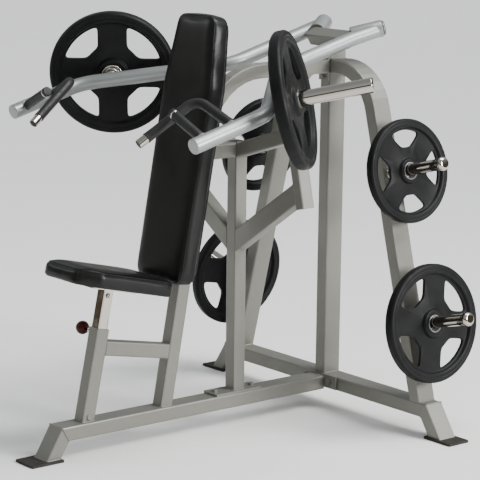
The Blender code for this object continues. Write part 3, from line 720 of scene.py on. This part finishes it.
def straight_handle(word, side, body):
    """A sleeved bar with a metal ring near its end."""
    root, tip = (mirrored(at(*p), side) for p in STRAIGHT_HANDLE)
    run = (tip - root).normalized()
    length = (tip - root).length
    sunk = GRIP_RADIUS - 0.0012
    grip = [(0, length), (0.0145, length), (GRIP_RADIUS, length - 0.002), (GRIP_RADIUS, length - 0.012)]
    grip += [(sunk, length - 0.013), (sunk, length - 0.018), (GRIP_RADIUS, length - 0.019)]
    grip += [(GRIP_RADIUS, 0.0285), (ROD_RADIUS, 0.0275), (ROD_RADIUS, 0.010), (0, 0.010)]
    piece = link("straight_grip_" + word, turned(eased(grip, 0.0025, 4), root, run), "grip_foam", body, 60)
    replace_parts(piece, "straight_handle_" + word)
    ring = [(GRIP_RADIUS - 0.001, length - 0.0125), (GRIP_RADIUS + 0.0006, length - 0.0135),
            (GRIP_RADIUS + 0.0006, length - 0.0175), (GRIP_RADIUS - 0.001, length - 0.0185)]
    mesh = turned(ring, root, run, 48, True)
    link("straight_ring_" + word, mesh, "chrome", body, 60)
    arm = "press_arm_" + word
    node = "straight_handle_" + word
    weld("weld_" + node, node, arm, "bright_silver_coat", body, HANDLE_WELD)


def bent_handle(word, side, body):
    """A bent rod with a rubber cover, a lip at each end of the cover and a plug in the rod's end."""
    root, corner, tip = (mirrored(at(*p), side) for p in BENT_HANDLE)
    run, down = (corner - root).normalized(), (tip - corner).normalized()
    core = bent((root + run * 0.012, corner, tip - down * 0.0015), HANDLE_BEND)  # starts inside the arm
    piece = link("bent_rod_" + word, rod(core, ROD_RADIUS, sides=10), "chrome", body, 60)
    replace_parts(piece, "bent_handle_" + word)
    cover = bent((root + run * COVER_ROOT, corner, tip - down * COVER_TIP), HANDLE_BEND)
    piece = link("bent_cover_" + word, rod(cover, GRIP_RADIUS, sides=12), "grip_foam", body, 60)
    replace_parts(piece, "bent_grip_" + word)
    brim = 0.0172
    lip = ((ROD_RADIUS, 0.0), (brim, 0.0), (brim, -0.004), (GRIP_RADIUS, -0.006), (ROD_RADIUS, -0.006))
    lip = eased(lip, 0.0015, 3)
    for end, way, tag in ((cover[0], run, "root"), (cover[-1], -down, "tip")):
        link(f"grip_lip_{tag}_{word}", turned(lip, end, -way, 48), "grip_foam", body, 60)
    edge = ROD_RADIUS - 0.0005
    plug = [(0, 0.003), (ROD_RADIUS - 0.003, 0.003), (edge, 0.001), (edge, -0.003), (0, -0.003)]
    plug = turned(eased(plug, 0.001, 3), tip - down * 0.003, down, 40)
    link("bent_end_plug_" + word, plug, "black_rubber", body)
    arm = "press_arm_" + word
    node = "bent_handle_" + word
    weld("weld_" + node, node, arm, "bright_silver_coat", body, HANDLE_WELD)


def bumpers():
    """Rubber bumpers, dished on top and a little waisted."""
    for word, _ in SIDES:
        node = "rest_bumper_" + word
        low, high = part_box(node)
        base = Vector(((low.x + high.x) / 2, (low.y + high.y) / 2, low.z))
        height = high.z - low.z
        profile = [(0, height - 0.002), (0.008, height - 0.002), (0.010, height), (0.0205, height)]
        profile += [(0.024, height - 0.005), (0.0225, height * 0.45), (0.024, 0.003), (0.024, 0), (0, 0)]
        mesh = turned(eased(profile, 0.003, 4), base, UP)
        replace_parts(link(node + "_moulded", mesh, "black_rubber", "frame"), node)


def pull_pin():
    """The ball knob, flattened where it meets the pin, and the pin's ribbed housing."""
    middle = centre("ball_knob")
    axis = Vector(joint("pull_pin")["axis"])
    steps = 40
    angles = (math.pi * i / steps for i in range(steps + 1))
    ball = [(KNOB_RADIUS * math.sin(angle), KNOB_RADIUS * math.cos(angle)) for angle in angles]
    ball = [(max(r, 0), h) for r, h in ball if h > -0.0205]
    ball = [(0, KNOB_RADIUS), *ball[1:], (0.0085, -0.0222), (0, -0.0222)]
    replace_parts(link("knob_ball", turned(ball, middle, axis), "red_plastic", "pull_pin_body"), "ball_knob")
    base = centre("pull_pin")
    low, high = extent("pull_pin", base, axis)
    housing = [(0, high), (0.006, high), (0.006, high - 0.014)]
    housing += [(0.0085, high - 0.0155), (0.0095, high - 0.018)]
    for i in range(9):
        h = high - 0.020 - 0.0024 * i
        housing += [(0.0095, h), (0.0091, h - 0.0008), (0.0095, h - 0.0016)]
    housing += [(0.0095, low + 0.0052), (0.005, low + 0.005), (0.005, low), (0, low)]
    mesh = turned(housing, base, axis, 40)
    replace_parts(link("pin_housing", mesh, "chrome", "pull_pin_body", 60), "pull_pin")


def fittings():
    """The screw and washer at the seat post's head, and the cap of the middle upright."""
    spot, side = Vector((0.0203, -0.438, 0.529)), Vector((1, 0, 0))
    washer = eased(((0, 0.0016), (0.0085, 0.0016), (0.0085, 0), (0, 0)), 0.0005, 3)
    link("seat_screw_washer", turned(washer, spot, side, 40), "chrome", "seat_body", material=BLACKENED)
    head = [(0, 0.0022), (0.0022, 0.0022), (0.0028, 0.0052), (0.0040, 0.0058), (0.0058, 0.0046)]
    head = turned(eased(head + [(0.0062, 0.0016), (0, 0.0016)], 0.0008, 3), spot, side, 40)
    link("seat_screw_head", head, "chrome", "seat_body", 60)
    low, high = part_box("mid_upright")
    under, top = high.z + 0.0003, high.z + 0.0028
    cap = soft_slab(Vector((low.x, low.y, under)), Vector((high.x, high.y, top)), 0.0045)
    link("mid_upright_cap", cap, "silver_powder_coat", "frame", material=RUBBER)


def soft_slab(low, high, corner):
    """A thin plate between two corners, rounded in plan and a little at its edges."""
    middle, half = (low + high) / 2, (high - low) / 2
    outline = []
    for quarter, (u, v) in enumerate(((1, 1), (-1, 1), (-1, -1), (1, -1))):
        for step in range(7):
            angle = (quarter + step / 6) * math.pi / 2
            x = u * (half.x - corner) + corner * math.cos(angle)
            outline.append((middle.x + x, middle.y + v * (half.y - corner) + corner * math.sin(angle), low.z))
    shape = bmesh.new()
    bottom = shape.faces.new([shape.verts.new(p) for p in outline])
    made = bmesh.ops.extrude_face_region(shape, geom=[bottom], use_keep_orig=True)["geom"]
    top = [item for item in made if isinstance(item, bmesh.types.BMVert)]
    bmesh.ops.translate(shape, vec=(0, 0, high.z - low.z), verts=top)
    mesh = bpy.data.meshes.new("slab")
    shape.to_mesh(mesh)
    shape.free()
    obj = bpy.data.objects.new("slab", mesh)
    bpy.context.scene.collection.objects.link(obj)
    bevel = obj.modifiers.new("Soft edges", "BEVEL")
    bevel.width = 0.0008
    bevel.segments = 3
    bevel.limit_method = "ANGLE"
    bevel.angle_limit = math.radians(50)
    return baked(obj)


# Upholstery


class Cushion:
    """A pad's own axes: across, along from its low or front end, and out from its hard back."""

    def __init__(self, node, along, out):
        self.node, self.along, self.out = node, along, out
        self.across = Vector((1, 0, 0))
        points = [v.co for v in frame["nodes"][node].data.vertices]
        self.low = min(p.dot(along) for p in points)
        self.high = max(p.dot(along) for p in points)
        self.base = min(p.dot(out) for p in points)
        self.top = max(p.dot(out) for p in points)
        self.thick = self.top - self.base

    def local(self, point):
        return point.x, point.dot(self.along) - self.low, point.dot(self.out) - self.base

    def world(self, u, v, h):
        return self.across * u + self.along * (v + self.low) + self.out * (h + self.base)


def remeshed(cushion, inset):
    """The CAD pad with even quads, drawn in a little on every side but its back."""
    obj = bpy.data.objects.new("start", frame["nodes"][cushion.node].data.copy())
    bpy.context.scene.collection.objects.link(obj)
    remesh = obj.modifiers.new("Even", "REMESH")
    remesh.mode = "VOXEL"
    remesh.voxel_size = VOXEL
    mesh = baked(obj)
    width = max(abs(v.co.x) for v in mesh.vertices)
    half = (cushion.high - cushion.low) / 2
    for vertex in mesh.vertices:
        u, v, h = cushion.local(vertex.co)
        v = half + (v - half) * (1 - inset / half)
        vertex.co = cushion.world(u * (1 - inset / width), v, h * (1 - inset / cushion.thick))
    return mesh


def evened(mesh, field, rounds):
    """A field of vectors on a mesh, each averaged with its neighbours."""
    edges = np.array([edge.vertices[:] for edge in mesh.edges])
    first, second = edges[:, 0], edges[:, 1]
    count = np.bincount(edges.ravel(), minlength=len(field))[:, None] + 1
    for _ in range(rounds):
        total = field.copy()
        np.add.at(total, first, field[second])
        np.add.at(total, second, field[first])
        field = total / count
    return field


def inflated(mesh, cap):
    """Cloth under pressure swells the cover; its swelling is evened out and no point moves past the cap."""
    obj = bpy.data.objects.new("swelling", mesh)
    bpy.context.scene.collection.objects.link(obj)
    cloth = obj.modifiers.new("Cover", "CLOTH")
    cloth.settings.use_pressure = True
    cloth.settings.uniform_pressure_force = PRESSURE
    cloth.settings.effector_weights.gravity = 0
    cloth.settings.bending_stiffness = 2.0
    before = np.array([v.co for v in mesh.vertices])
    scene = bpy.context.scene
    for step in range(1, 21):
        scene.frame_set(step)
    graph = bpy.context.evaluated_depsgraph_get()
    move = np.array([v.co for v in obj.evaluated_get(graph).data.vertices]) - before
    scene.frame_set(1)
    bpy.data.objects.remove(obj)
    length = np.linalg.norm(move, axis=1, keepdims=True)
    move *= np.minimum(1, cap / np.maximum(length, 1e-9))
    for vertex, co in zip(mesh.vertices, before + evened(mesh, move, 12)):
        vertex.co = co
    return mesh


def smoothstep(x):
    x = min(1.0, max(0.0, x))
    return x * x * (3 - 2 * x)


def side_hit(cushion, tree, angle, height):
    """The point of a pad's side in a direction from its middle, and the way inwards there."""
    half = (cushion.high - cushion.low) / 2
    middle = cushion.world(0, half, height)
    way = cushion.across * math.cos(angle) * 0.5 + cushion.along * math.sin(angle) * (half + 0.2)
    inward = (cushion.along * (way.dot(cushion.along) * 0.72) - way).normalized()
    return tree.ray_cast(middle + way, inward)[0], inward


def corner_hit(cushion, tree, u, height):
    """The point of a pad's low corner on one side, and the way inwards there."""
    start = cushion.world(u * 2, -0.1, height)
    inward = (cushion.world(u * 0.9, 0.02, height) - start).normalized()
    return tree.ray_cast(start, inward)[0], inward


def pinched(cushion, u, v, h, seam):
    """Draws the cover in a little on each side of its seam."""
    half = (cushion.high - cushion.low) / 2
    pull = 0.0016 * math.exp(-(((h / cushion.thick - seam) * cushion.thick / 0.006) ** 2))
    edge = max(abs(u) / 0.13, abs(v / half - 1))
    scale = 1 - pull * smoothstep((edge - 0.75) / 0.2) / 0.13
    return u * scale, half + (v - half) * (1 - pull / half), h


def fitted(cushion, mesh, grow):
    """Brings a finished cover to its CAD pad's size, and past it by what it is stuffed with.

    grow is how far past: to each side, at its low end, at its high end, and outwards.
    """
    local = [cushion.local(vertex.co) for vertex in mesh.vertices]
    points = frame["nodes"][cushion.node].data.vertices
    width = max(abs(u) for u, _, _ in local)
    low, high = min(v for _, v, _ in local), max(v for _, v, _ in local)
    top = max(h for _, _, h in local)
    wider = (max(abs(p.co.x) for p in points) + grow[0]) / width
    longer = (cushion.high - cushion.low + grow[1] + grow[2]) / (high - low)
    thicker = (cushion.thick + grow[3]) / top
    for vertex, (u, v, h) in zip(mesh.vertices, local):
        vertex.co = cushion.world(u * wider, (v - low) * longer - grow[1], h * thicker)


def pad(name, node, along, out, body, shape, seam, corners, grow):
    """A cushion that stands for a CAD pad, with a welt round it and a seam down each low corner.

    seam is the welt's height as a part of the pad's, and corners are where the low corners are across it.
    """
    cushion = Cushion(node, along, out)
    mesh = remeshed(cushion, 0.0015)
    mesh = inflated(mesh, 0.004)
    for vertex in mesh.vertices:
        u, v, h = shape(cushion, *cushion.local(vertex.co))
        vertex.co = cushion.world(*pinched(cushion, u, v, h, seam))
    obj = bpy.data.objects.new("soft", mesh)
    bpy.context.scene.collection.objects.link(obj)
    smooth = obj.modifiers.new("Relax", "SMOOTH")
    smooth.iterations = 1
    smooth.factor = 0.5
    fine = obj.modifiers.new("Fine", "SUBSURF")
    fine.levels = fine.render_levels = 1
    mesh = baked(obj)
    fitted(cushion, mesh, grow)
    tree = tree_of(mesh)
    piece = link(name, mesh, "black_vinyl", body, NO_EDGES)
    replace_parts(piece, node)
    hits = (side_hit(cushion, tree, 2 * math.pi * i / 200, seam * cushion.thick) for i in range(200))
    ring = [point - inward * 0.0006 for point, inward in hits if point]
    link(f"{name}_piping", rod(ring, WELT, True, 4), "black_vinyl", body, NO_EDGES)
    for i, corner in enumerate(corners):
        heights = (cushion.thick * (0.12 + (seam - 0.12) * step / 12) for step in range(13))
        hits = (corner_hit(cushion, tree, corner, height) for height in heights)
        line = [point - inward * 0.0001 for point, inward in hits if point]
        link(f"{name}_corner_seam_{i}", rod(line, 0.0014, False, 4), "black_vinyl", body, NO_EDGES)


def puffed(cushion, u, v, h, width, side):
    """Fills the cover out between its corners: the sides bow and the face rises quickly from its edge."""
    half = (cushion.high - cushion.low) / 2
    h = max(h, 0.0006)
    level = h / cushion.thick
    bow = side * math.sin(math.pi * min(1, level)) * max(0, 1 - ((v - half) / half) ** 6)
    u *= 1 + bow / width * smoothstep((abs(u) / width - 0.5) / 0.4)
    return u, v, h, level, half


def seat_shape(cushion, u, v, h):
    """Crowned on top and rounded over at the front."""
    u, v, h, level, half = puffed(cushion, u, v, h, 0.13, 0.003)
    crown = max(0, 1 - (u / 0.130) ** 6) * max(0, 1 - ((v - half) / half) ** 6)
    drop = 0.005 * smoothstep((0.06 - v) / 0.06)
    return u, v, h + (0.008 * crown - drop) * smoothstep(level)


def back_shape(cushion, u, v, h):
    """Crowned over its width and a little at its ends."""
    u, v, h, level, half = puffed(cushion, u, v, h, 0.125, 0.004)
    width = 0.126 - 0.030 * smoothstep((v - 0.66) / 0.25)
    crown = max(0, 1 - (u / width) ** 8) * max(0, 1 - ((v - half) / half) ** 24)
    return u, v, h + 0.006 * crown * smoothstep(level)


def upholstery():
    """The seat lies back by its tilt, and the back rest leans."""
    tilt = Vector((0, math.cos(SEAT_TILT), -math.sin(SEAT_TILT)))
    out = Vector((0, math.sin(SEAT_TILT), math.cos(SEAT_TILT)))
    grow = (0.005, 0.003, 0.005, 0.005)
    pad("seat_cushion", "seat_pad", tilt, out, "seat_body", seat_shape, 0.88, (-0.088, 0.088), grow)
    up = Vector((0, math.sin(BACK_LEAN), math.cos(BACK_LEAN)))
    out = Vector((0, -math.cos(BACK_LEAN), math.sin(BACK_LEAN)))
    grow = (0.006, 0.004, 0.004, 0.008)
    pad("back_cushion", "back_pad", up, out, "frame", back_shape, 0.93, (), grow)
    wrapped_board()


def wrapped_board():
    """The back's board, under the cover that is pulled round it."""
    obj = bpy.data.objects.new("board", frame["nodes"]["back_board"].data.copy())
    bpy.context.scene.collection.objects.link(obj)
    bevel = obj.modifiers.new("Pulled edge", "BEVEL")
    bevel.width = 0.004
    bevel.segments = 3
    bevel.limit_method = "ANGLE"
    bevel.angle_limit = math.radians(50)
    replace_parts(link("back_board_wrapped", baked(obj), "black_vinyl", "frame"), "back_board")


# Stage


def stage():
    """A pale floor, a dim studio that is lighter above, and soft lamps."""
    shape = bmesh.new()
    bmesh.ops.create_grid(shape, x_segments=1, y_segments=1, size=30)
    mesh = bpy.data.meshes.new("floor")
    shape.to_mesh(mesh)
    shape.free()
    floor = bpy.data.objects.new("floor", mesh)
    mesh.materials.append(floor_paint())
    floor.location.z = -0.0005
    bpy.context.scene.collection.objects.link(floor)

    world = bpy.data.worlds.new("studio")
    bpy.context.scene.world = world
    world.use_nodes = True
    nodes, links = world.node_tree.nodes, world.node_tree.links
    way = nodes.new("ShaderNodeTexCoord")
    split = nodes.new("ShaderNodeSeparateXYZ")
    ramp = nodes.new("ShaderNodeValToRGB")
    links.new(way.outputs["Generated"], split.inputs["Vector"])
    links.new(split.outputs["Z"], ramp.inputs["Fac"])
    links.new(ramp.outputs["Color"], nodes["Background"].inputs["Color"])
    ramp.color_ramp.elements[0].color = (0.12, 0.10, 0.075, 1)
    ramp.color_ramp.elements[1].color = (0.38, 0.40, 0.42, 1)
    low = ramp.color_ramp.elements.new(0.20)
    low.color = (0.10, 0.085, 0.065, 1)
    high = ramp.color_ramp.elements.new(0.33)
    high.color = (0.62, 0.66, 0.68, 1)

    for name, spot, size, power in (
        ("ceiling", (0.8, 0.6, 4.4), 1.6, 60),
        ("right", (6.5, 2.6, 2.6), 2.0, 520),
        ("front", (-3.2, -2.9, 2.9), 0.8, 22),
    ):
        data = bpy.data.lights.new(name, "AREA")
        data.size = size
        data.energy = power
        aimed(name, data, Vector(spot))
    data = bpy.data.lights.new("skylight", "SUN")
    data.energy = 3.4
    data.angle = math.radians(30)
    aimed("skylight", data, Vector((2.6, 2.2, 5)))


def aimed(name, data, spot):
    """A light at a spot, turned towards the middle of the machine."""
    light = bpy.data.objects.new(name, data)
    light.location = spot
    light.rotation_mode = "QUATERNION"
    light.rotation_quaternion = (spot - Vector((0, 0, 0.7))).to_track_quat("Z", "Y")
    bpy.context.scene.collection.objects.link(light)


def camera():
    """The camera stands in front and to the right, a little above the machine."""
    level = math.cos(PITCH)
    forward = Vector((-math.sin(AZIMUTH) * level, math.cos(AZIMUTH) * level, -math.sin(PITCH)))
    right = Vector((math.cos(AZIMUTH), math.sin(AZIMUTH), 0))
    up = right.cross(forward)
    right, up = right * math.cos(ROLL) + up * math.sin(ROLL), up * math.cos(ROLL) - right * math.sin(ROLL)
    data = bpy.data.cameras.new("camera")
    data.lens = LENS
    data.sensor_width = 36
    data.shift_x, data.shift_y = SHIFT
    obj = bpy.data.objects.new("camera", data)
    turn = Matrix((right, up, -forward)).transposed().to_4x4()
    obj.matrix_world = Matrix.Translation(at(*AIM) - forward * DISTANCE) @ turn
    bpy.context.scene.collection.objects.link(obj)
    bpy.context.scene.camera = obj


def main():
    stage()
    camera()
    dress_cad_nodes()
    frame_welds()
    weight_plates()
    storage_horns()
    for word, side in SIDES:
        body = f"press_arm_{word}_body"
        press_arm(word, side, body)
        arm_horn(word, body)
        straight_handle(word, side, body)
        bent_handle(word, side, body)
        pivot_shaft(word, side)
    bumpers()
    pull_pin()
    fittings()
    upholstery()


main()
